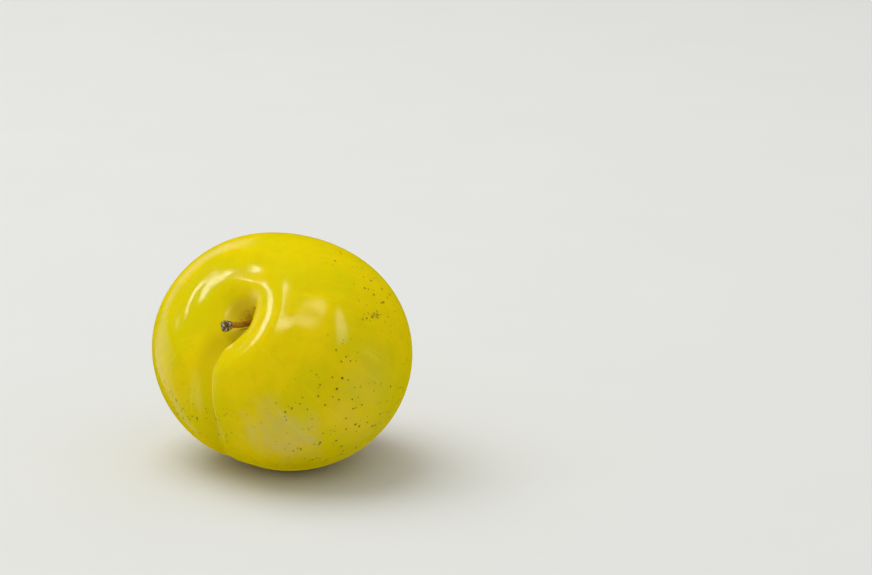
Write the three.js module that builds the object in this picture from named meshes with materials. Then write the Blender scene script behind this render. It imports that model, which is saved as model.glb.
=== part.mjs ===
/*
 * A ripe yellow plum with its stem, lying on its suture side.
 *
 * Millimetres, +Z up. The origin is the middle of the flat spot that the plum rests on.
 *
 * The fruit is shaped in a frame of its own: +Z runs from the tip to the stem, +X points at the
 * suture, and azimuth is counted from +X towards +Y, which is the fuller cheek. restingPose then
 * turns that frame until the plum lies on the surface.
 */
import * as THREE from 'three';
import { mergeVertices } from 'three/addons/utils/BufferGeometryUtils.js';

// Half section of the fruit, as [radius, height]: the curve that is turned about the axis.
const HALF_SECTION = [
  [0.0, -32.5], [1.8, -32.2], [5.0, -30.9], // tip
  [11.4, -26.8], [18.9, -20.1], [24.8, -12.1], [27.6, -3.5], // flank and belly
  [26.9, 5.2], [23.0, 13.3], [17.0, 18.1], [12.9, 19.5], // shoulder
  [8.0, 19.7], [5.2, 18.8], [2.9, 17.2], [1.8, 15.8], [1.1, 14.8], [0.0, 14.5], // stem cavity
];

// How the fruit departs from round, as shares of the radius.
const NARROWER_THROUGH_SUTURE = 0.078;
const FULLER_AT_SUTURE = 0.036;
const FULLER_CHEEK = 0.026;

// The shoulder round the stem cavity.
const CREST_RADIUS = 10.5;
const CREST_WIDTH = 5.5;
const CHEEK_RISE = 0.65;

// The bottom of the cavity and its rim lie off the axis, so one wall is steep and the opposite gentle.
const CAVITY_SHIFT = 4.2;
const CAVITY_SHIFT_RADIUS = 7.2;
const RIM_SHIFT = 1.5;
const RIM_WIDTH = 3.2;
const SHIFT_AZIMUTH = 1.32;

// The suture is a wide valley. Along its crease the fuller lobe stands proud and the other drops.
const VALLEY_DEPTH_ON_BELLY = 0.7;
const VALLEY_DEPTH_AT_CREST = 2.1;
const VALLEY_WIDTH_ON_BELLY = 6.0;
const VALLEY_WIDTH_AT_CREST = 9.0;
const VALLEY_AZIMUTH_AT_CREST = -0.27;
const CREASE_HALF_WIDTH_ON_BELLY = 1.7;
const CREASE_HALF_WIDTH_AT_CREST = 0.55;
const PROUD_HEIGHT = 0.35;
const PROUD_WIDTH = 7.0;
const DROP_DEPTH = 0.9;
const DROP_WIDTH = 3.2;

// Near the cavity the step grows, and the crease sweeps round the cavity as a lip.
const LIP_EXTRA_PROUD = 0.66;
const LIP_EXTRA_DROP = 0.27;
const LIP_EXTRA_DROP_WIDTH = 2.0;
const LIP_TURN = 0.75;
const LIP_RADIUS = 5.0;
const LIP_SPREAD = 1.6;

// Where the lip leans over the cavity, or back from it if negative.
const LIP_LEANS = [
  { azimuth: 1.7, halfLength: 0.7, radius: 4.8, width: 2.4, lean: 1.5 },
  { azimuth: 0.55, halfLength: 0.3, radius: 8.0, width: 1.5, lean: -1.0 },
];

// Azimuth of the crease, high on the shoulder and low on the flank, and its swing before the lip.
const CREASE_AZIMUTH_HIGH = 0.13;
const CREASE_AZIMUTH_LOW = -0.12;
const CREASE_SWING = 0.1;
const CREASE_SWING_RADIUS = 10.0;
const CREASE_SWING_WIDTH = 2.5;

// The resting pose: where the stem points, and where the fruit's frame sits over the flat spot.
const STEM_AZIMUTH = THREE.MathUtils.degToRad(-129.3);
const STEM_ELEVATION = THREE.MathUtils.degToRad(38.2);
const CENTRE = new THREE.Vector3(-1.88, -1.22, 26.15);

// The stem's course in the fruit's frame, from its foot in the cavity to its knob.
const STEM_COURSE = [
  [1.04, 4.07, 15.15], [1.6, 4.1, 16.3], [3.0, 3.89, 18.2], [3.83, 2.96, 19.4], [5.18, 1.68, 20.7],
];
// Its radius along that course, as [share of the length, radius]: foot, slim shaft, corky knob.
const STEM_RADII = [
  [0.0, 0.62], [0.12, 0.66], [0.35, 0.68], [0.62, 0.64], [0.74, 0.7],
  [0.81, 1.0], [0.88, 1.2], [0.95, 1.15], [1.0, 0.8],
];

// Mesh fineness.
const FRUIT_COLUMNS = 72;
const FRUIT_ROWS = 48;
const COLUMN_CROWDING = 0.6; // 0 spaces the columns evenly, towards 1 crowds them at the crease
const STEM_SIDES = 18;
const STEM_ROWS = 24;

const bump = (x, width) => Math.exp(-((x / width) ** 2));
const rise = (x, from, to) => THREE.MathUtils.smoothstep(x, from, to);
const { lerp } = THREE.MathUtils;
const angleFrom = (azimuth, middle) => Math.atan2(Math.sin(azimuth - middle), Math.cos(azimuth - middle));

/** Azimuth of the crease at a place on the half section. */
function creaseAzimuth(radius, height, cavitySide) {
  const outside = lerp(CREASE_AZIMUTH_LOW, CREASE_AZIMUTH_HIGH, rise(height, -8, 14));
  const lip = LIP_TURN * Math.exp(-(Math.max(radius, 3) - LIP_RADIUS) / LIP_SPREAD);
  const swing = CREASE_SWING * bump(radius - CREASE_SWING_RADIUS, CREASE_SWING_WIDTH);
  return outside + (lip - swing) * cavitySide;
}

/** How far the lip leans over the cavity. */
function lipLean(azimuth, radius) {
  return rise(radius, 0, 3) * LIP_LEANS.reduce((sum, place) => sum
    + place.lean * bump(radius - place.radius, place.width)
    * bump(angleFrom(azimuth, place.azimuth), place.halfLength), 0);
}

/** Height of the skin over the plain turned curve, along its normal, at an angle from the crease. */
function sutureRelief(azimuth, turn, radius, height, cavitySide) {
  const nearCavity = bump(Math.max(radius - 5, 0), 6) * cavitySide;
  const facing = 0.5 + 0.5 * Math.cos(turn);
  const across = 2 * radius * Math.sin(turn / 2); // from the crease, positive on the fuller lobe
  const proud = (PROUD_HEIGHT + LIP_EXTRA_PROUD * nearCavity) * Math.exp(-Math.max(across, 0) / PROUD_WIDTH);
  const drop = (DROP_DEPTH + LIP_EXTRA_DROP * nearCavity)
    * bump(across, DROP_WIDTH + LIP_EXTRA_DROP_WIDTH * nearCavity);
  const halfWidth = lerp(CREASE_HALF_WIDTH_ON_BELLY, CREASE_HALF_WIDTH_AT_CREST, rise(height, 4, 17));
  const crease = lerp(-drop, proud, rise(across / halfWidth, -1, 1));
  const upward = rise(height, 2, 20);
  const fromValley = 2 * radius * Math.sin((azimuth - VALLEY_AZIMUTH_AT_CREST * upward) / 2);
  const valley = lerp(VALLEY_DEPTH_ON_BELLY, VALLEY_DEPTH_AT_CREST, upward)
    * bump(fromValley, lerp(VALLEY_WIDTH_ON_BELLY, VALLEY_WIDTH_AT_CREST, upward));
  const relief = rise(height, -16, 8) * crease - rise(height, -18, 0) * valley;
  return relief * facing * rise(radius, 0.6, 6);
}

/** A point of the skin in the fruit's frame, at a share of the half section and a turn from the crease. */
function skinPoint(section, share, turn) {
  const { x: radius, y: height } = section.getPoint(share);
  const tangent = section.getTangent(share);
  const cavitySide = rise(height, 5, 11);
  const azimuth = creaseAzimuth(radius, height, cavitySide) + turn;
  const shoulder = bump(radius - CREST_RADIUS, CREST_WIDTH) * cavitySide * rise(radius, 0, 3);
  const relief = sutureRelief(azimuth, turn, radius, height, cavitySide);
  const reach = radius * (1 - NARROWER_THROUGH_SUTURE * Math.cos(2 * azimuth)
    + FULLER_AT_SUTURE * Math.cos(azimuth) + FULLER_CHEEK * Math.sin(azimuth)) + relief * tangent.y;
  const shift = cavitySide * (CAVITY_SHIFT * bump(radius, CAVITY_SHIFT_RADIUS)
    + RIM_SHIFT * bump(radius - CREST_RADIUS, RIM_WIDTH) - lipLean(azimuth, radius));
  return new THREE.Vector3(
    reach * Math.cos(azimuth) + shift * Math.cos(SHIFT_AZIMUTH),
    reach * Math.sin(azimuth) + shift * Math.sin(SHIFT_AZIMUTH),
    height + shoulder * CHEEK_RISE * Math.sin(azimuth) - relief * tangent.x,
  );
}

/** The turn and shift from the fruit's own frame to the resting pose. */
function restingPose() {
  const pose = new THREE.Matrix4().makeRotationZ(STEM_AZIMUTH);
  pose.multiply(new THREE.Matrix4().makeRotationY(Math.PI / 2 - STEM_ELEVATION));
  return pose.setPosition(CENTRE);
}

/** Merges the seam and the poles, and drops the triangles that this leaves without area. */
function closeUp(geometry) {
  geometry.deleteAttribute('normal');
  geometry.deleteAttribute('uv');
  const merged = mergeVertices(geometry, 1e-4);
  const corners = merged.getIndex().array;
  const kept = [];
  for (let i = 0; i < corners.length; i += 3) {
    const [a, b, c] = corners.slice(i, i + 3);
    if (a !== b && b !== c && c !== a) kept.push(a, b, c);
  }
  return merged.setIndex(kept);
}

/** The fruit: a lathe whose vertices move to the skin, pressed flat where it meets the surface. */
function fruitGeometry(pose) {
  const section = new THREE.SplineCurve(HALF_SECTION.map((point) => new THREE.Vector2(...point)));
  const lathe = new THREE.LatheGeometry(section.getPoints(FRUIT_ROWS), FRUIT_COLUMNS);
  const position = lathe.getAttribute('position');
  for (let column = 0; column <= FRUIT_COLUMNS; column += 1) {
    const even = Math.PI * ((2 * (column % FRUIT_COLUMNS)) / FRUIT_COLUMNS - 1);
    const turn = even - COLUMN_CROWDING * Math.sin(even);
    for (let row = 0; row <= FRUIT_ROWS; row += 1) {
      const point = skinPoint(section, row / FRUIT_ROWS, turn).applyMatrix4(pose);
      position.setXYZ(column * (FRUIT_ROWS + 1) + row, point.x, point.y, Math.max(point.z, 0));
    }
  }
  return closeUp(lathe);
}

/** The stem: a lathe of its radii, bent along its course. */
function stemGeometry() {
  const course = new THREE.CatmullRomCurve3(STEM_COURSE.map((point) => new THREE.Vector3(...point)));
  const radii = new THREE.SplineCurve(STEM_RADII.map(([share, radius]) => new THREE.Vector2(radius, share)));
  const rings = [new THREE.Vector2(0, 0), ...radii.getPoints(STEM_ROWS), new THREE.Vector2(0, 1)];
  const lathe = new THREE.LatheGeometry(rings, STEM_SIDES);
  const position = lathe.getAttribute('position');
  const sideways = new THREE.Vector3(1, 0, 0).cross(course.getTangentAt(0)).normalize();
  rings.forEach(({ x: radius, y: share }, row) => {
    const middle = course.getPointAt(share);
    const along = course.getTangentAt(share);
    const over = sideways.clone().cross(along).normalize();
    const across = along.clone().cross(over);
    for (let side = 0; side <= STEM_SIDES; side += 1) {
      const angle = (2 * Math.PI * side) / STEM_SIDES;
      const point = middle.clone()
        .addScaledVector(over, radius * Math.cos(angle))
        .addScaledVector(across, radius * Math.sin(angle));
      position.setXYZ(side * rings.length + row, point.x, point.y, point.z);
    }
  });
  return closeUp(lathe);
}

const skin = new THREE.MeshStandardMaterial({ color: 0xd9b90a, roughness: 0.3, metalness: 0 });
const cork = new THREE.MeshStandardMaterial({ color: 0x7d5a1e, roughness: 0.8, metalness: 0 });
const pose = restingPose();

const fruit = new THREE.Mesh(fruitGeometry(pose), skin);
fruit.name = 'fruit';

const stem = new THREE.Mesh(stemGeometry(), cork);
stem.name = 'stem';
stem.applyMatrix4(pose);

const plum = new THREE.Group();
plum.add(fruit, stem);

export default plum;
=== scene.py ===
"""A ripe yellow plum with its stem, lying on a pale floor in soft studio light."""

import bpy
import numpy as np
from mathutils import Matrix, Vector


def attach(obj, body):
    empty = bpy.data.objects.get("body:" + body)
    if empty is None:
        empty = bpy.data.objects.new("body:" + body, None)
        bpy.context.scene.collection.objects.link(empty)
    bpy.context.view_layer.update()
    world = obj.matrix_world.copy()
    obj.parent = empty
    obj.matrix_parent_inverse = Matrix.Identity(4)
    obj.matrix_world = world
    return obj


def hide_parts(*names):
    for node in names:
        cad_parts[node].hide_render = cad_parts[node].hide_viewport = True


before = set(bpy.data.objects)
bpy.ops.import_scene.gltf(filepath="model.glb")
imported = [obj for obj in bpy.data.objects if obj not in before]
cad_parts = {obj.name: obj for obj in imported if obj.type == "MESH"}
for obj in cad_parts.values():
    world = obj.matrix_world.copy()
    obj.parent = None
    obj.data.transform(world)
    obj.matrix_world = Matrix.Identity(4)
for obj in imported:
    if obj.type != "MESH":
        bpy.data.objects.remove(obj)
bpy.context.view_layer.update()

MM = 0.001

# ---------------------------------------------------------------- the plum's own measures, in mm

HALF_SECTION = np.array([
    (0.0, -32.5), (1.8, -32.2), (5.0, -30.9),  # tip
    (11.4, -26.8), (18.9, -20.1), (24.8, -12.1), (27.6, -3.5),  # flank and belly
    (26.9, 5.2), (23.0, 13.3), (17.0, 18.1), (12.9, 19.5),  # shoulder
    (8.0, 19.7), (5.2, 18.8), (2.9, 17.2), (1.8, 15.8), (1.1, 14.8), (0.0, 14.5),  # stem cavity
])

# How the fruit departs from round, as shares of the radius.
NARROWER_THROUGH_SUTURE = 0.078
FULLER_AT_SUTURE = 0.036
FULLER_CHEEK = 0.026

# Heights on the half section over which each part comes in or changes.
CAVITY_SIDE = (5, 11)
CREASE_DRIFTS = (-8, 14)
CREASE_COMES_IN = (-16, 8)
CREASE_NARROWS = (4, 17)
VALLEY_COMES_IN = (-18, 0)
VALLEY_WIDENS = (2, 20)

# Radii over which the suture, and then the lip and the shoulder, come in from the axis.
RELIEF_COMES_IN = (0.6, 6)
RIM_COMES_IN = (0, 3)

# The shoulder round the stem cavity, higher on the fuller cheek.
CREST_RADIUS = 10.5
CREST_WIDTH = 5.5
CHEEK_RISE = 0.65

# The bottom of the cavity and its rim lie off the axis.
CAVITY_SHIFT = 4.2
CAVITY_SHIFT_RADIUS = 7.2
RIM_SHIFT = 1.5
RIM_WIDTH = 3.2
SHIFT_AZIMUTH = 1.32

# Faint waves of the shoulder: azimuth, radius, change of radius with azimuth, half length in azimuth,
# width towards the cavity, width away from it, height.
SHOULDER_WAVES = [
    (-1.55, 12.2, -0.4, 0.42, 0.9, 0.9, 0.08),
    (-1.5, 15.2, -0.3, 0.5, 2.4, 2.4, -0.3),
    (-2.3, 10.0, 0.0, 0.5, 1.9, 1.9, 0.1),
    (3.1, 10.0, 0.0, 0.4, 2.4, 2.0, -0.24),
    (-2.6, 11.2, 0.0, 0.3, 1.8, 1.8, 0.12),
    (-1.75, 11.0, -1.0, 0.15, 0.8, 0.8, -0.04),
    (-1.95, 12.2, -1.0, 0.12, 1.2, 1.2, 0.06),
]

# The suture: a wide valley with a crease, the fuller lobe proud of it and the other dropped.
VALLEY_DEPTH_ON_BELLY = 0.7
VALLEY_DEPTH_AT_CREST = 2.1
VALLEY_WIDTH_ON_BELLY = 6.0
VALLEY_WIDTH_AT_CREST = 9.0
VALLEY_AZIMUTH_AT_CREST = -0.27
CREASE_HALF_WIDTH_ON_BELLY = 1.7
CREASE_HALF_WIDTH_AT_CREST = 0.55
PROUD_HEIGHT = 0.35
PROUD_WIDTH = 7.0
DROP_DEPTH = 0.9
DROP_WIDTH = 3.2

# Near the cavity the step grows, and the crease sweeps round the cavity as a lip.
LIP_EXTRA_PROUD = 0.66
LIP_EXTRA_DROP = 0.27
LIP_EXTRA_DROP_WIDTH = 2.0
LIP_TURN = 0.75
LIP_RADIUS = 5.0
LIP_SPREAD = 1.6
NEAR_CAVITY_RADIUS = 5.0
NEAR_CAVITY_WIDTH = 6.0
# Where the lip leans over the cavity, or back from it if negative: azimuth, half length in azimuth,
# radius, width, lean.
LIP_LEANS = [
    (1.7, 0.7, 4.8, 2.4, 1.5),
    (0.55, 0.3, 8.0, 1.5, -1.0),
]

# Azimuth of the crease, high on the shoulder and low on the flank, and its swing before the lip.
CREASE_AZIMUTH_HIGH = 0.13
CREASE_AZIMUTH_LOW = -0.12
CREASE_SWING = 0.10
CREASE_SWING_RADIUS = 10.0
CREASE_SWING_WIDTH = 2.5

# The resting pose: where the stem points, and where the fruit's frame sits over the flat spot.
STEM_AZIMUTH = np.radians(-129.3)
STEM_ELEVATION = np.radians(38.2)
CENTRE = np.array([-1.88, -1.22, 26.15])

# The stem from its foot to its knob in the fruit's frame, and its radius at shares of that course.
STEM_COURSE = np.array([
    (1.04, 4.07, 15.15), (1.6, 4.1, 16.3), (3.0, 3.89, 18.2), (3.83, 2.96, 19.4), (5.18, 1.68, 20.7),
])
STEM_RADII = np.array([
    (0.0, 0.62), (0.12, 0.66), (0.35, 0.68), (0.62, 0.64), (0.74, 0.7),
    (0.81, 1.0), (0.88, 1.2), (0.95, 1.15), (1.0, 0.8),
])

# ---------------------------------------------------------------- the picture

PICTURE_SIZE = np.array([872, 575])
CENTRE_IN_PICTURE = np.array([278.6, 345.3])
CAMERA_DISTANCE = 640.0
CAMERA_ELEVATION = np.radians(15.2)
LENS = 122.4
SENSOR_WIDTH = 36.0

# ---------------------------------------------------------------- mesh fineness

SKIN_ROWS = 270
SKIN_COLUMNS = 350
COLUMN_CROWDING = 0.6  # 0 spaces the columns evenly, towards 1 crowds them at the crease
STEM_ROWS = 200
STEM_SIDES = 96
STEM_RADII_SAMPLES = 400
TANGENT_STEP = 1e-4
MERIDIAN_RADIUS = 20  # of the cylinder on which the streaks from tip to stem are laid out


# ---------------------------------------------------------------- curves and waves

def bump(x, width):
    """exp(-(x / width)^2)."""
    return np.exp(-((x / width) ** 2))


def rise(x, low, high):
    """Smooth step from 0 at low to 1 at high: t^2 (3 - 2 t)."""
    t = np.clip((x - low) / (high - low), 0, 1)
    return t * t * (3 - 2 * t)


def blend(a, b, share):
    """a where share is 0, b where it is 1."""
    return a + (b - a) * share


def spline(points, shares):
    """Catmull-Rom curve through evenly counted points, at shares from 0 to 1 of its run."""
    last = len(points) - 1
    place = np.asarray(shares) * last
    i = np.minimum(place.astype(int), last - 1)
    t = (place - i)[:, None]
    before, start, end, after = (points[np.clip(i + k, 0, last)] for k in (-1, 0, 1, 2))
    leaving, arriving = (end - before) / 2, (after - start) / 2
    return ((2 * start - 2 * end + leaving + arriving) * t ** 3
            + (3 * end - 3 * start - 2 * leaving - arriving) * t ** 2 + leaving * t + start)


def unit(vectors):
    """Vectors scaled to length 1."""
    return vectors / np.linalg.norm(vectors, axis=-1, keepdims=True)


def run_along(points):
    """Length of the path from the first point to each point."""
    return np.concatenate([[0], np.cumsum(np.linalg.norm(np.diff(points, axis=0), axis=1))])


def chord(radius, angle):
    """Straight distance across an angle at a radius: 2 radius sin(angle / 2)."""
    return 2 * radius * np.sin(angle / 2)


def turned_z(angle):
    """Rotation matrix about Z."""
    c, s = np.cos(angle), np.sin(angle)
    return np.array([[c, -s, 0], [s, c, 0], [0, 0, 1]])


def turned_y(angle):
    """Rotation matrix about Y."""
    c, s = np.cos(angle), np.sin(angle)
    return np.array([[c, 0, s], [0, 1, 0], [-s, 0, c]])


POSE = turned_z(STEM_AZIMUTH) @ turned_y(np.pi / 2 - STEM_ELEVATION)


def laid_down(points):
    """Points of the fruit's frame, in mm, moved to the resting pose, in metres."""
    return (points @ POSE.T + CENTRE) * MM


# ---------------------------------------------------------------- meshes

def grid_faces(rows, columns):
    """Quads of a grid of rows by columns whose last column joins its first."""
    row = np.arange(rows - 1)[:, None] * columns
    column = np.arange(columns)[None, :]
    following = (column + 1) % columns
    next_row = row + columns
    quads = np.stack([row + column, row + following, next_row + following, next_row + column], -1)
    return quads.reshape(-1, 4)


def closed_grid(name, points, **fields):
    """A mesh object from points of shape (rows, columns, 3). The columns close on each other, and one
    point at each end closes the poles. Each field is one number or vector per point, kept as an
    attribute."""
    rows, columns = points.shape[:2]
    poles = np.stack([points[0].mean(0), points[-1].mean(0)])
    vertices = np.concatenate([points.reshape(-1, 3), poles])
    ring = np.arange(columns)
    following = (ring + 1) % columns
    first, last = rows * columns, rows * columns + 1
    end = (rows - 1) * columns
    caps = np.concatenate([
        np.stack([np.full(columns, first), following, ring], -1),
        np.stack([np.full(columns, last), end + ring, end + following], -1),
    ])
    mesh = bpy.data.meshes.new(name)
    mesh.from_pydata(vertices.tolist(), [], grid_faces(rows, columns).tolist() + caps.tolist())
    for field, values in fields.items():
        values = np.asarray(values, dtype=np.float32)
        size = 1 if values.ndim == 2 else 3
        flat = values.reshape(rows * columns, size)
        ends = np.stack([flat[:columns].mean(0), flat[-columns:].mean(0)])
        kind, key = ("FLOAT", "value") if size == 1 else ("FLOAT_VECTOR", "vector")
        attribute = mesh.attributes.new(field, kind, "POINT")
        attribute.data.foreach_set(key, np.concatenate([flat, ends]).ravel())
    mesh.shade_smooth()
    mesh.validate()
    piece = bpy.data.objects.new(name, mesh)
    bpy.context.collection.objects.link(piece)
    return piece


# ---------------------------------------------------------------- the fruit

def angle_from(azimuth, middle):
    """Azimuth counted from a middle, between -pi and pi."""
    return (azimuth - middle + np.pi) % (2 * np.pi) - np.pi


def crease_azimuth(radius, height, cavity_side):
    """Azimuth of the crease: an outside part that drifts down the flank, and a sweep round the cavity,
    LIP_TURN exp(-(radius - LIP_RADIUS) / LIP_SPREAD), after a small swing the other way."""
    outside = blend(CREASE_AZIMUTH_LOW, CREASE_AZIMUTH_HIGH, rise(height, *CREASE_DRIFTS))
    sweep = LIP_TURN * np.exp(-(np.maximum(radius, 3) - LIP_RADIUS) / LIP_SPREAD)
    swing = CREASE_SWING * bump(radius - CREASE_SWING_RADIUS, CREASE_SWING_WIDTH)
    return outside + (sweep - swing) * cavity_side


def lip_lean(azimuth, radius):
    """How far the lip leans over the cavity: lean times a bump in radius times a bump in azimuth, and
    none at the axis."""
    total = 0
    for middle, half_length, place, width, lean in LIP_LEANS:
        along = angle_from(azimuth, middle)
        total = total + lean * bump(radius - place, width) * bump(along, half_length)
    return total * rise(radius, *RIM_COMES_IN)


def suture_relief(azimuth, turn, radius, height, cavity_side):
    """Height over the turned curve, along its normal: a step across the crease, proud on the fuller lobe
    and dropped on the other, less a wide valley, both fading towards the tip and into the cavity."""
    near_cavity = bump(np.maximum(radius - NEAR_CAVITY_RADIUS, 0), NEAR_CAVITY_WIDTH) * cavity_side
    facing = 0.5 + 0.5 * np.cos(turn)
    across = chord(radius, turn)
    proud = (PROUD_HEIGHT + LIP_EXTRA_PROUD * near_cavity) * np.exp(-np.maximum(across, 0) / PROUD_WIDTH)
    drop_width = DROP_WIDTH + LIP_EXTRA_DROP_WIDTH * near_cavity
    drop = (DROP_DEPTH + LIP_EXTRA_DROP * near_cavity) * bump(across, drop_width)
    narrowing = rise(height, *CREASE_NARROWS)
    half_width = blend(CREASE_HALF_WIDTH_ON_BELLY, CREASE_HALF_WIDTH_AT_CREST, narrowing)
    crease = blend(-drop, proud, rise(across / half_width, -1, 1))
    upward = rise(height, *VALLEY_WIDENS)
    from_valley = chord(radius, azimuth - VALLEY_AZIMUTH_AT_CREST * upward)
    valley = (blend(VALLEY_DEPTH_ON_BELLY, VALLEY_DEPTH_AT_CREST, upward)
              * bump(from_valley, blend(VALLEY_WIDTH_ON_BELLY, VALLEY_WIDTH_AT_CREST, upward)))
    relief = rise(height, *CREASE_COMES_IN) * crease - rise(height, *VALLEY_COMES_IN) * valley
    return relief * facing * rise(radius, *RELIEF_COMES_IN)


def shoulder_waves(azimuth, radius):
    """Sum of the waves: height times a bump across the wave times a bump along it."""
    total = 0
    for middle, place, lean, half_length, inward, outward, height in SHOULDER_WAVES:
        along = angle_from(azimuth, middle)
        across = radius - place - lean * along
        profile = bump(across, np.where(across < 0, inward, outward))
        total = total + height * profile * bump(along, half_length)
    return total


def skin_grid(rows, columns):
    """Points of the skin in the fruit's frame, and the fields that its colours follow. The half section
    is turned about the axis, stretched as 1 - a cos 2z + b cos z + c sin z in azimuth z, lifted round the
    crest, waved by shoulder_waves, and moved along its normal by suture_relief. Columns are counted from
    the crease."""
    shares = np.linspace(0, 1, rows + 2)[1:-1]
    even = np.pi * (2 * np.arange(columns) / columns - 1)
    turn = (even - COLUMN_CROWDING * np.sin(even))[None, :]
    section = spline(HALF_SECTION, shares)
    behind, ahead = (spline(HALF_SECTION, shares + step) for step in (-TANGENT_STEP, TANGENT_STEP))
    tangent = unit(ahead - behind)
    radius, height = section[:, :1], section[:, 1:]
    cavity_side = rise(height, *CAVITY_SIDE)
    azimuth = crease_azimuth(radius, height, cavity_side) + turn
    shoulder = bump(radius - CREST_RADIUS, CREST_WIDTH) * cavity_side * rise(radius, *RIM_COMES_IN)
    relief = suture_relief(azimuth, turn, radius, height, cavity_side)
    stretch = (1 - NARROWER_THROUGH_SUTURE * np.cos(2 * azimuth) + FULLER_AT_SUTURE * np.cos(azimuth)
               + FULLER_CHEEK * np.sin(azimuth))
    reach = radius * stretch + relief * tangent[:, 1:]
    shift = (CAVITY_SHIFT * bump(radius, CAVITY_SHIFT_RADIUS)
             + RIM_SHIFT * bump(radius - CREST_RADIUS, RIM_WIDTH)
             - lip_lean(azimuth, radius)) * cavity_side
    points = np.stack([
        reach * np.cos(azimuth) + shift * np.cos(SHIFT_AZIMUTH),
        reach * np.sin(azimuth) + shift * np.sin(SHIFT_AZIMUTH),
        (height + shoulder * CHEEK_RISE * np.sin(azimuth) - relief * tangent[:, :1]
         + shoulder_waves(azimuth, radius) * cavity_side),
    ], -1)
    run = run_along(section)[:, None] + 0 * azimuth
    unrolled = [MERIDIAN_RADIUS * np.cos(azimuth), MERIDIAN_RADIUS * np.sin(azimuth), run]
    fields = {
        "meridian": np.stack(unrolled, -1),
        "axis_height": height + 0 * azimuth,
        "axis_radius": radius + 0 * azimuth,
        "crease_distance": chord(radius, turn),
    }
    return points, fields


def make_skin():
    """The fruit's skin, pressed flat where it rests, with the fields that its material reads."""
    points, fields = skin_grid(SKIN_ROWS, SKIN_COLUMNS)
    placed = laid_down(points)
    placed[..., 2] = np.maximum(placed[..., 2], 0)
    return closed_grid("plum_skin", placed, **fields)


# ---------------------------------------------------------------- the stem

def make_stem():
    """The stem: rings of its radii carried along its course."""
    shares = np.linspace(0, 1, STEM_ROWS)
    course = spline(STEM_COURSE, shares)
    along = unit(np.gradient(course, axis=0))
    share_at, radius_at = spline(STEM_RADII, np.linspace(0, 1, STEM_RADII_SAMPLES)).T
    radius = np.interp(shares, share_at, radius_at)[:, None]
    sideways = unit(np.cross([1.0, 0, 0], along[0]))
    over = unit(np.cross(sideways, along))
    sideways = np.cross(along, over)
    angle = (2 * np.pi * np.arange(STEM_SIDES) / STEM_SIDES)[None, :]
    x, y = radius * np.cos(angle), radius * np.sin(angle)
    points = course[:, None] + x[..., None] * over[:, None] + y[..., None] * sideways[:, None]
    run = run_along(course)[:, None] + 0 * angle
    return closed_grid("plum_stem", laid_down(points), stem_share=shares[:, None] + 0 * angle,
                       stem_around=np.stack([x, y, run], -1))


# ---------------------------------------------------------------- materials

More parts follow.
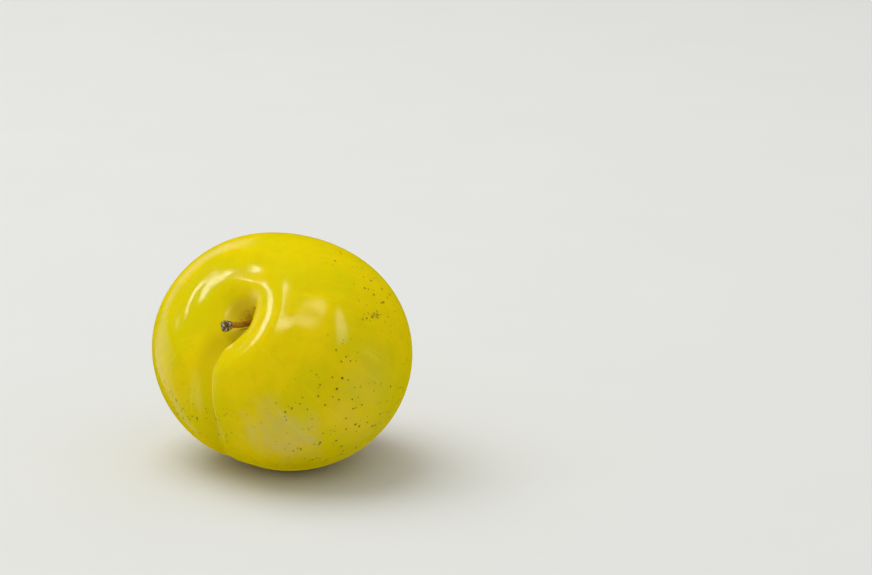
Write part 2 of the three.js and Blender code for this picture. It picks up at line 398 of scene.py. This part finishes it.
class Finish:
    """A material's nodes. Each call adds one node and gives its output."""

    def __init__(self, name):
        self.material = bpy.data.materials.new(name)
        self.material.use_nodes = True
        self.nodes = self.material.node_tree.nodes
        self.links = self.material.node_tree.links
        self.shader = self.nodes["Principled BSDF"]

    def feed(self, socket, value):
        """Links an output to a socket, or sets the socket to a plain value."""
        if isinstance(value, bpy.types.NodeSocket):
            self.links.new(value, socket)
        else:
            socket.default_value = value

    def place(self, size, centre=(0, 0, 0)):
        """Object coordinates counted from a centre, in mm, in steps of the size of a pattern, in mm."""
        mapping = self.nodes.new("ShaderNodeMapping")
        mapping.vector_type = "TEXTURE"
        mapping.inputs["Location"].default_value = [c * MM for c in centre]
        mapping.inputs["Scale"].default_value = [size * MM] * 3
        self.links.new(self.nodes.new("ShaderNodeTexCoord").outputs["Object"], mapping.inputs["Vector"])
        return mapping.outputs["Vector"]

    def field(self, name, vector=False):
        """One of the mesh's own attributes."""
        attribute = self.nodes.new("ShaderNodeAttribute")
        attribute.attribute_name = name
        return attribute.outputs["Vector" if vector else "Fac"]

    def stretched(self, vector, sizes):
        """A vector divided by a size along each axis."""
        mapping = self.nodes.new("ShaderNodeMapping")
        mapping.vector_type = "TEXTURE"
        mapping.inputs["Scale"].default_value = sizes
        self.links.new(vector, mapping.inputs["Vector"])
        return mapping.outputs["Vector"]

    def noise(self, vector, detail=2.0, roughness=0.5):
        """Fractal noise, 0 to 1 and mostly near 0.5."""
        node = self.nodes.new("ShaderNodeTexNoise")
        node.inputs["Scale"].default_value = 1.0
        node.inputs["Detail"].default_value = detail
        node.inputs["Roughness"].default_value = roughness
        self.links.new(vector, node.inputs["Vector"])
        return node.outputs["Fac"]

    def cells(self, vector):
        """Distance from the nearest of many scattered points, one per step."""
        node = self.nodes.new("ShaderNodeTexVoronoi")
        node.inputs["Scale"].default_value = 1.0
        self.links.new(vector, node.inputs["Vector"])
        return node.outputs["Distance"]

    def length(self, vector):
        """Length of a vector."""
        node = self.nodes.new("ShaderNodeVectorMath")
        node.operation = "LENGTH"
        self.links.new(vector, node.inputs[0])
        return node.outputs["Value"]

    def sum(self, a, b):
        """a + b."""
        return self.math("ADD", a, b)

    def product(self, a, b):
        """a times b."""
        return self.math("MULTIPLY", a, b)

    def larger(self, a, b):
        """The larger of a and b."""
        return self.math("MAXIMUM", a, b)

    def math(self, operation, a, b):
        """One operation on two values."""
        node = self.nodes.new("ShaderNodeMath")
        node.operation = operation
        self.feed(node.inputs[0], a)
        self.feed(node.inputs[1], b)
        return node.outputs["Value"]

    def step(self, value, low, high, start=0.0, end=1.0):
        """Goes smoothly from start to end while the value goes from low to high. High may be the
        smaller."""
        node = self.nodes.new("ShaderNodeMapRange")
        node.interpolation_type = "SMOOTHSTEP"
        if low > high:
            low, high, start, end = high, low, end, start
        node.inputs["From Min"].default_value = low
        node.inputs["From Max"].default_value = high
        node.inputs["To Min"].default_value = start
        node.inputs["To Max"].default_value = end
        self.links.new(value, node.inputs["Value"])
        return node.outputs["Result"]

    def colour(self, share, under, over):
        """The colour under where the share is 0, and the one over it where the share is 1."""
        node = self.nodes.new("ShaderNodeMix")
        node.data_type = "RGBA"
        self.feed(node.inputs["Factor"], share)
        for name, value in (("A", under), ("B", over)):
            socket = next(i for i in node.inputs if i.name == name and i.type == "RGBA")
            self.feed(socket, value if isinstance(value, bpy.types.NodeSocket) else (*value, 1))
        return next(o for o in node.outputs if o.type == "RGBA")

    def relief(self, height, distance, under=None):
        """Bumps of a height of 0 to 1 times the distance, in mm."""
        node = self.nodes.new("ShaderNodeBump")
        node.inputs["Distance"].default_value = distance * MM
        self.links.new(height, node.inputs["Height"])
        if under is not None:
            self.links.new(under, node.inputs["Normal"])
        return node.outputs["Normal"]


RIPE_YELLOW = (0.80, 0.615, 0.001)
DEEP_YELLOW = (0.70, 0.515, 0.001)
GREEN_YELLOW = (0.69, 0.585, 0.001)
PALE_STREAK = (0.84, 0.70, 0.004)
AMBER_FLUSH = (0.58, 0.31, 0.003)
TIP_BROWN = (0.16, 0.06, 0.008)
# Bloom; at the front it is partly a painted reflection of the floor.
BLOOM_AND_FLOOR_SHEEN_WHITE = (0.60, 0.52, 0.20)
LENTICEL_BROWN = (0.10, 0.045, 0.004)
LENTICEL_GREY = (0.24, 0.20, 0.12)
RUSSET = (0.27, 0.125, 0.012)
# Deeper suture yellow, partly its own colour and partly painted valley shade.
SUTURE_TONE_AND_PAINTED_SHADE = (0.60, 0.455, 0.002)
# Painted shade down the cavity.
CAVITY_PAINTED_SHADE = (0.62, 0.46, 0.002)
# Painted shade: dark brown of the shaded pit at the stem's foot.
PIT_PAINTED_SHADE = (0.075, 0.03, 0.002)
SCUFF_BROWN = (0.20, 0.12, 0.02)
STEM_ORANGE = (0.50, 0.235, 0.008)
STEM_BROWN = (0.17, 0.09, 0.006)
KNOB_BROWN = (0.16, 0.085, 0.010)
KNOB_DARK = (0.035, 0.016, 0.002)
CORK_GREY = (0.46, 0.43, 0.33)
BOARD_WHITE = (0.72, 0.725, 0.7)
BOARD_SHADE = (0.7, 0.705, 0.68)

# Lengths below are in mm, and heights and radii are those of the half section. Where a pair is given,
# the colour or pattern is absent or faintest at the first and full at the second.

# Sizes of the skin's patterns. The streaks and fibres run from tip to stem.
CLOUDS = 13
BLOTCHES = 6
MOTTLE = 2.2
GRAIN = 0.35
STREAKS = (1.1, 1.1, 14)
FIBRES = (0.32, 0.32, 5)
SOFT_DIMPLES = 3.4
DIMPLE_DEPTH = 0.05
FIBRE_DEPTH = 0.012
GRAIN_DEPTH = 0.006

# Deeper yellow beside the crease, on the side of the valley, partly the suture's own colour and partly
# painted valley shade; painted shade down the cavity.
VALLEY_SIDE = (-9, -4)
CREASE_LINE = (0.5, -0.5)
SUTURE_RADII = (20, 12)
SUTURE_HEIGHTS = (-20, -8)
CAVITY_RADII = (6, 2.5)

# Amber flush at the tip, with a ragged edge, and the brown scar that ends it.
FLUSH_HEIGHTS = (-18, -34)
FLUSH_RAGGEDNESS = 2.5
SCAR_RADII = (2.2, 0.6)
SCAR_HEIGHTS = (0, -20)

# Bloom, partly a painted floor reflection: the rubbed patch at the front, by distance from its centre, and
# faint ones elsewhere.
BLOOM_CENTRE = (0.2, -26.3, 13.5)
BLOOM_EDGE = (10.5, 1.5)
BLOOM_RAGGEDNESS = 2.5
FAINT_PATCHES = 24
FAINT_BLOOM = 0.18
FAINT_BLOOM_UPPER_END = (13, 4)
FAINT_BLOOM_LOWER_END = (-20, -12)

# Two sizes of lenticel: spacing, radius, and a number that shifts the pattern. They crowd in clouds.
LENTICELS = [(1.5, 0.27, 3.0), (2.1, 0.36, 11.0)]
LENTICEL_CLOUDS = 17
LENTICEL_HEIGHTS = (17, 9)

# Scuffs on the right shoulder: a level row, with its half length and half height, and single spots with
# their radii.
SCUFF_BITS = 0.8
SCUFF_ROW = (18.7, -18.4, 37.6)
SCUFF_ROW_SIZES = (3.6, 3.6, 1.1)
SCUFF_SPOTS = [((5.2, -21.6, 41.5), 0.3), ((10.8, -10.3, 47.4), 0.35), ((17.5, -14.0, 41.0), 0.25)]

# Russet specks deep in the cavity, and painted shade at its bottom: a dark brown pit with a ragged edge.
RUSSET_SPECKS = 0.55
RUSSET_RADII = (3.4, 1.2)
PIT_RADII = (2.3, 1.6)
PIT_RAGGEDNESS = 1.6

# The gloss fades on the cavity's walls.
DULL_RADII = (5, 3)

# The stem's patterns, and where the knob's cork begins, as shares of the stem's course.
STEM_FIBRES = (0.3, 0.3, 1.6)
STEM_GRAIN = 0.3
STEM_RELIEF = 0.06
CORK_PATCHES = 0.5
KNOB_START = (0.78, 0.84)

BOARD_CLOUDS = 40


def lenticels(finish, spacing, radius, seed):
    """Share of a dot's colour: scattered balls with soft edges, one per step of the spacing, seen where
    they meet the skin."""
    vector = finish.place(spacing, centre=(seed, seed * 0.7, -seed))
    return finish.step(finish.cells(vector), radius / spacing, radius * 0.45 / spacing)


def skin_material():
    """Waxy yellow skin: mottled yellow with streaks from tip to stem, amber at the tip, russet in the
    cavity, brown dots, and a pale bloom that rubs off in streaks and dulls the gloss. Painted shade darkens
    the valley by the crease, the cavity and the pit; the bloom at the front is partly a painted reflection
    of the floor."""
    f = Finish("plum_skin")
    meridian = f.field("meridian", vector=True)
    height = f.field("axis_height")
    radius = f.field("axis_radius")
    crease = f.field("crease_distance")
    along = f.noise(f.stretched(meridian, STREAKS), detail=3)
    fibres = f.noise(f.stretched(meridian, FIBRES), detail=2)
    clouds = f.noise(f.place(CLOUDS), detail=3)
    mottle = f.noise(f.place(MOTTLE), detail=4, roughness=0.6)
    blotches = f.noise(f.place(BLOTCHES, centre=(5, 2, 7)), detail=4, roughness=0.6)
    grain = f.noise(f.place(GRAIN), detail=2)

    # Ground colour: ripe and greener clouds, deeper mottling, pale streaks.
    colour = f.colour(f.step(clouds, 0.40, 0.66), RIPE_YELLOW, GREEN_YELLOW)
    colour = f.colour(f.step(mottle, 0.42, 0.78, 0, 0.5), colour, DEEP_YELLOW)
    streaks = f.product(f.step(along, 0.5, 0.8, 0, 0.8), f.step(fibres, 0.35, 0.7))
    colour = f.colour(streaks, colour, PALE_STREAK)

    # Deeper yellow by the crease, partly painted shade; painted shade in the cavity; amber tip, ending in
    # brown.
    valley_tone_and_shade = f.product(f.step(crease, *VALLEY_SIDE), f.step(crease, *CREASE_LINE))
    valley_tone_and_shade = f.product(valley_tone_and_shade, f.step(radius, *SUTURE_RADII, 0.25, 0.95))
    valley_tone_and_shade = f.product(valley_tone_and_shade, f.step(height, *SUTURE_HEIGHTS))
    colour = f.colour(valley_tone_and_shade, colour, SUTURE_TONE_AND_PAINTED_SHADE)
    cavity = f.product(f.step(radius, *CAVITY_RADII), f.step(height, *CAVITY_SIDE))
    colour = f.colour(f.product(cavity, 0.7), colour, CAVITY_PAINTED_SHADE)
    ragged = f.step(along, 0.3, 0.7, -FLUSH_RAGGEDNESS, FLUSH_RAGGEDNESS)
    near_tip = f.step(f.sum(height, ragged), *FLUSH_HEIGHTS)
    colour = f.colour(f.product(near_tip, 0.7), colour, AMBER_FLUSH)
    scar = f.product(f.step(radius, *SCAR_RADII), f.step(height, *SCAR_HEIGHTS))
    colour = f.colour(scar, colour, TIP_BROWN)

    # Bloom: the rubbed patch at the front, partly a painted reflection of the floor, and faint ones
    # elsewhere.
    rubbed = f.step(f.sum(f.product(along, 0.5), f.product(mottle, 0.5)), 0.32, 0.6, 0.4, 1.0)
    ragged = f.step(blotches, 0.3, 0.7, BLOOM_RAGGEDNESS, -BLOOM_RAGGEDNESS)
    front_bloom_and_sheen = f.step(f.sum(f.length(f.place(1, centre=BLOOM_CENTRE)), ragged), *BLOOM_EDGE)
    patches = f.step(f.noise(f.place(FAINT_PATCHES, centre=(9, 3, 1)), detail=1), 0.5, 0.66)
    patches = f.product(f.product(patches, f.step(height, *FAINT_BLOOM_UPPER_END)), FAINT_BLOOM)
    bloom_and_sheen = f.larger(front_bloom_and_sheen, f.product(patches, f.step(height, *FAINT_BLOOM_LOWER_END)))
    bloom_and_sheen = f.product(f.product(bloom_and_sheen, rubbed), f.step(grain, 0.3, 0.6, 0.6, 1.0))
    colour = f.colour(f.product(bloom_and_sheen, 0.6), colour, BLOOM_AND_FLOOR_SHEEN_WHITE)

    # Lenticels, brown, and grey under the bloom.
    dots = f.larger(*(lenticels(f, *size) for size in LENTICELS))
    thick = f.step(f.noise(f.place(LENTICEL_CLOUDS, centre=(4, 8, 2)), detail=1), 0.36, 0.55, 0.15, 1.0)
    dots = f.product(f.product(dots, thick), f.step(height, *LENTICEL_HEIGHTS))
    colour = f.colour(dots, colour, f.colour(bloom_and_sheen, LENTICEL_BROWN, LENTICEL_GREY))

    # Russet specks deep in the cavity.
    specks = f.step(f.noise(f.place(RUSSET_SPECKS), detail=3, roughness=0.7), 0.52, 0.62)
    specks = f.product(specks, f.step(radius, *RUSSET_RADII))
    specks = f.product(specks, f.step(height, *CAVITY_SIDE, 0, 0.55))
    colour = f.colour(specks, colour, RUSSET)

    # Scuffs: broken bits along a row, and round spots.
    row = f.length(f.stretched(f.place(1, centre=SCUFF_ROW), SCUFF_ROW_SIZES))
    scuffs = f.step(f.noise(f.place(SCUFF_BITS, centre=(2, 2, 2)), detail=3, roughness=0.7), 0.52, 0.6)
    scuffs = f.product(scuffs, f.step(row, 1.0, 0.7))
    for spot, size in SCUFF_SPOTS:
        scuffs = f.larger(scuffs, f.step(f.length(f.place(size, centre=spot)), 1.0, 0.6))
    colour = f.colour(f.product(scuffs, 0.8), colour, SCUFF_BROWN)

    # Painted shade: a dark brown pit round the foot of the stem.
    pit_shade = f.step(f.sum(radius, f.product(mottle, PIT_RAGGEDNESS)), *PIT_RADII)
    pit_shade = f.product(pit_shade, f.step(height, *CAVITY_SIDE))
    colour = f.colour(f.product(pit_shade, 0.9), colour, PIT_PAINTED_SHADE)

    # Gloss, duller under the bloom, on the dots and deep in the cavity.
    f.feed(f.shader.inputs["Base Color"], colour)
    gloss_wear = f.step(f.sum(f.product(fibres, 0.6), f.product(grain, 0.4)), 0.3, 0.7, 0.08, 0.15)
    in_cavity = f.product(f.step(radius, *DULL_RADII), f.product(cavity, 0.6))
    rough = f.sum(gloss_wear, f.sum(f.product(bloom_and_sheen, 0.34), in_cavity))
    f.feed(f.shader.inputs["Roughness"], f.sum(rough, f.product(dots, 0.3)))
    f.shader.inputs["Specular IOR Level"].default_value = 0.2
    f.shader.inputs["Subsurface Weight"].default_value = 0.25
    f.shader.inputs["Subsurface Radius"].default_value = (1.0, 0.7, 0.1)
    f.shader.inputs["Subsurface Scale"].default_value = 2.0 * MM
    normal = f.relief(f.noise(f.place(SOFT_DIMPLES), detail=2), DIMPLE_DEPTH)
    normal = f.relief(fibres, FIBRE_DEPTH, normal)
    normal = f.relief(f.sum(grain, f.product(dots, -1.0)), GRAIN_DEPTH, normal)
    f.feed(f.shader.inputs["Normal"], normal)
    return f.material


def stem_material():
    """Dry stem: fibrous orange-brown shaft with dark flecks, and a dark knob with patches of grey cork."""
    f = Finish("plum_stem")
    share = f.field("stem_share")
    along = f.field("stem_around", vector=True)
    fibres = f.noise(f.stretched(along, STEM_FIBRES), detail=3, roughness=0.6)
    grain = f.noise(f.place(STEM_GRAIN), detail=4, roughness=0.7)
    flecks = f.step(f.sum(f.product(fibres, 0.5), f.product(grain, 0.5)), 0.47, 0.56)
    colour = f.colour(flecks, STEM_ORANGE, STEM_BROWN)
    cork = f.colour(f.step(grain, 0.4, 0.52), KNOB_DARK, KNOB_BROWN)
    patches = f.noise(f.place(CORK_PATCHES, centre=(3, 1, 2)), detail=3, roughness=0.6)
    cork = f.colour(f.step(patches, 0.53, 0.57), cork, CORK_GREY)
    colour = f.colour(f.step(f.sum(share, f.product(grain, 0.1)), *KNOB_START), colour, cork)
    f.feed(f.shader.inputs["Base Color"], colour)
    f.shader.inputs["Roughness"].default_value = 0.75
    f.shader.inputs["Specular IOR Level"].default_value = 0.15
    f.feed(f.shader.inputs["Normal"], f.relief(f.sum(fibres, grain), STEM_RELIEF))
    return f.material


def floor_material():
    """Matt white board."""
    f = Finish("pale_floor")
    clouds = f.noise(f.place(BOARD_CLOUDS))
    f.feed(f.shader.inputs["Base Color"], f.colour(clouds, BOARD_WHITE, BOARD_SHADE))
    f.shader.inputs["Roughness"].default_value = 0.8
    f.shader.inputs["Specular IOR Level"].default_value = 0.0
    return f.material


# ---------------------------------------------------------------- studio

SURROUND_WHITE = (0.66, 0.66, 0.66)
SURROUND_YELLOW = (0.5, 0.4, 0.001)
# What the gloss shows softly: azimuth, elevation, half width that is full, half width where it ends,
# brightness. Each lies over the one before.
SOFT_GLOWS = [
    (-114, -9, 4, 30, 1.35),  # ground at the left
    (-114, -26, 3, 9, 1.0),  # ground at the lower left
    (-119, -34, 3, 9, 0.8),
    (-131, -38, 2, 9, 0.55),
    (-136, 14, 2, 16, 0.9),  # rim at the back
    (-152, 20, 2, 16, 0.9),
    (-98.5, 33, 1, 3, 13.0),  # foot of the strip along the lip
    (2, 59, 1, 10, 1.2),  # haze between the front bar and the front patch
    (-38, 49, 3, 5.5, 12.0),  # front bar, fading to the right
    (-28, 50, 3, 5.5, 12.0),
    (-18, 51, 2.5, 5, 9.5),
    (-9, 53, 2.5, 5, 8.0),
    (-1, 55, 2, 5, 5.5),
    (17, 69, 2.5, 5.5, 7.5),  # front patch
    (13, 64.5, 1, 5, 4.5),
    (53, 55, 3, 8, 3.0),  # right patch
    (51, 48, 6, 9.5, 6.0),
    (49, 39, 6, 9.5, 6.0),
    (47, 31, 4, 8.5, 4.0),
]
LIGHTS_FACE = Vector((0, 0, 0.026))
FLOOR_CORNERS = [(-3, -3, 0), (3, -3, 0), (3, 3, 0), (-3, 3, 0)]


def make_floor():
    """A wide level board that the gloss doesn't show."""
    mesh = bpy.data.meshes.new("floor")
    mesh.from_pydata(FLOOR_CORNERS, [], [(0, 1, 2, 3)])
    floor = bpy.data.objects.new("floor", mesh)
    bpy.context.collection.objects.link(floor)
    mesh.materials.append(floor_material())
    floor.visible_glossy = False


def towards(azimuth, elevation):
    """Unit vector to a place in the studio. Azimuth 0 is the camera's side and 90 the right, in degrees."""
    a, e = np.radians(azimuth), np.radians(elevation)
    return Vector((np.sin(a) * np.cos(e), -np.cos(a) * np.cos(e), np.sin(e)))


def light_at(name, azimuth, elevation, distance, size, brightness, roll=0, for_gloss=True):
    """An area light that faces the plum, its size in metres. Brightness is its radiance, where 1 is a
    white floor in full light. It shows in the gloss alone, or else lights the scene and stays out of the
    gloss."""
    direction = towards(azimuth, elevation)
    facing = direction.to_track_quat("Z", "Y").to_matrix() @ Matrix.Rotation(np.radians(roll), 3, "Z")
    data = bpy.data.lights.new(name, "AREA")
    data.shape = "RECTANGLE"
    data.size, data.size_y = size
    data.energy = brightness * np.pi * size[0] * size[1]
    lamp = bpy.data.objects.new(name, data)
    lamp.location = LIGHTS_FACE + direction * distance
    lamp.rotation_euler = facing.to_euler()
    lamp.visible_glossy = for_gloss
    lamp.visible_diffuse = not for_gloss
    bpy.context.collection.objects.link(lamp)


def make_surround():
    """A white surround that the gloss sees as yellow, as other fruit would be, with the soft glows."""
    world = bpy.data.worlds.new("studio")
    world.use_nodes = True
    nodes, links = world.node_tree.nodes, world.node_tree.links
    surround = nodes.new("ShaderNodeMixRGB")
    surround.inputs["Color1"].default_value = (*SURROUND_WHITE, 1)
    links.new(nodes.new("ShaderNodeLightPath").outputs["Is Glossy Ray"], surround.inputs["Fac"])
    links.new(surround.outputs["Color"], nodes["Background"].inputs["Color"])
    direction = nodes.new("ShaderNodeTexCoord").outputs["Generated"]
    glow = SURROUND_YELLOW
    for azimuth, elevation, inner, outer, brightness in SOFT_GLOWS:
        facing = nodes.new("ShaderNodeVectorMath")
        facing.operation = "DOT_PRODUCT"
        facing.inputs[1].default_value = towards(azimuth, elevation)
        links.new(direction, facing.inputs[0])
        share = nodes.new("ShaderNodeMapRange")
        share.interpolation_type = "SMOOTHSTEP"
        share.inputs["From Min"].default_value = np.cos(np.radians(outer))
        share.inputs["From Max"].default_value = np.cos(np.radians(inner))
        links.new(facing.outputs["Value"], share.inputs["Value"])
        layer = nodes.new("ShaderNodeMixRGB")
        layer.inputs["Color2"].default_value = (brightness, brightness, brightness, 1)
        links.new(share.outputs["Result"], layer.inputs["Fac"])
        if isinstance(glow, tuple):
            layer.inputs["Color1"].default_value = (*glow, 1)
        else:
            links.new(glow, layer.inputs["Color1"])
        glow = layer.outputs["Color"]
    links.new(glow, surround.inputs["Color2"])
    bpy.context.scene.world = world


def make_lights():
    """A wide overhead light, and the two bright shapes that the gloss shows with crisp edges."""
    light_at("overhead", azimuth=-110, elevation=69, distance=1.5, size=(1.3, 1.3), brightness=2.5,
             for_gloss=False)
    light_at("rim_box", azimuth=-102, elevation=33.5, distance=0.8, size=(0.10, 0.07), brightness=14)
    light_at("side_bar", azimuth=-59.5, elevation=60.8, distance=0.8, size=(0.095, 0.46), brightness=9,
             roll=58)


def make_camera():
    """The camera looks along +Y, tilted down. Its place puts the fruit's centre at its picture point."""
    right = np.array([1.0, 0, 0])
    up = np.array([0, np.sin(CAMERA_ELEVATION), np.cos(CAMERA_ELEVATION)])
    back = np.array([0, -np.cos(CAMERA_ELEVATION), np.sin(CAMERA_ELEVATION)])
    per_pixel = CAMERA_DISTANCE * SENSOR_WIDTH / (LENS * PICTURE_SIZE[0])
    off = (CENTRE_IN_PICTURE - PICTURE_SIZE / 2) * per_pixel
    place = CENTRE - right * off[0] + up * off[1] + back * CAMERA_DISTANCE
    data = bpy.data.cameras.new("camera")
    data.lens = LENS
    data.sensor_width = SENSOR_WIDTH
    camera = bpy.data.objects.new("camera", data)
    turned = Matrix(np.stack([right, up, back], 1).tolist()).to_4x4()
    camera.matrix_world = Matrix.Translation(place * MM) @ turned
    bpy.context.collection.objects.link(camera)
    bpy.context.scene.camera = camera


# ---------------------------------------------------------------- the scene

bpy.context.scene.view_settings.view_transform = "Standard"
make_camera()
make_surround()
make_lights()
make_floor()

skin = make_skin()
skin.data.materials.append(skin_material())
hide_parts("fruit")
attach(skin, "root")

stem = make_stem()
stem.data.materials.append(stem_material())
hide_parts("stem")
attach(stem, "root")
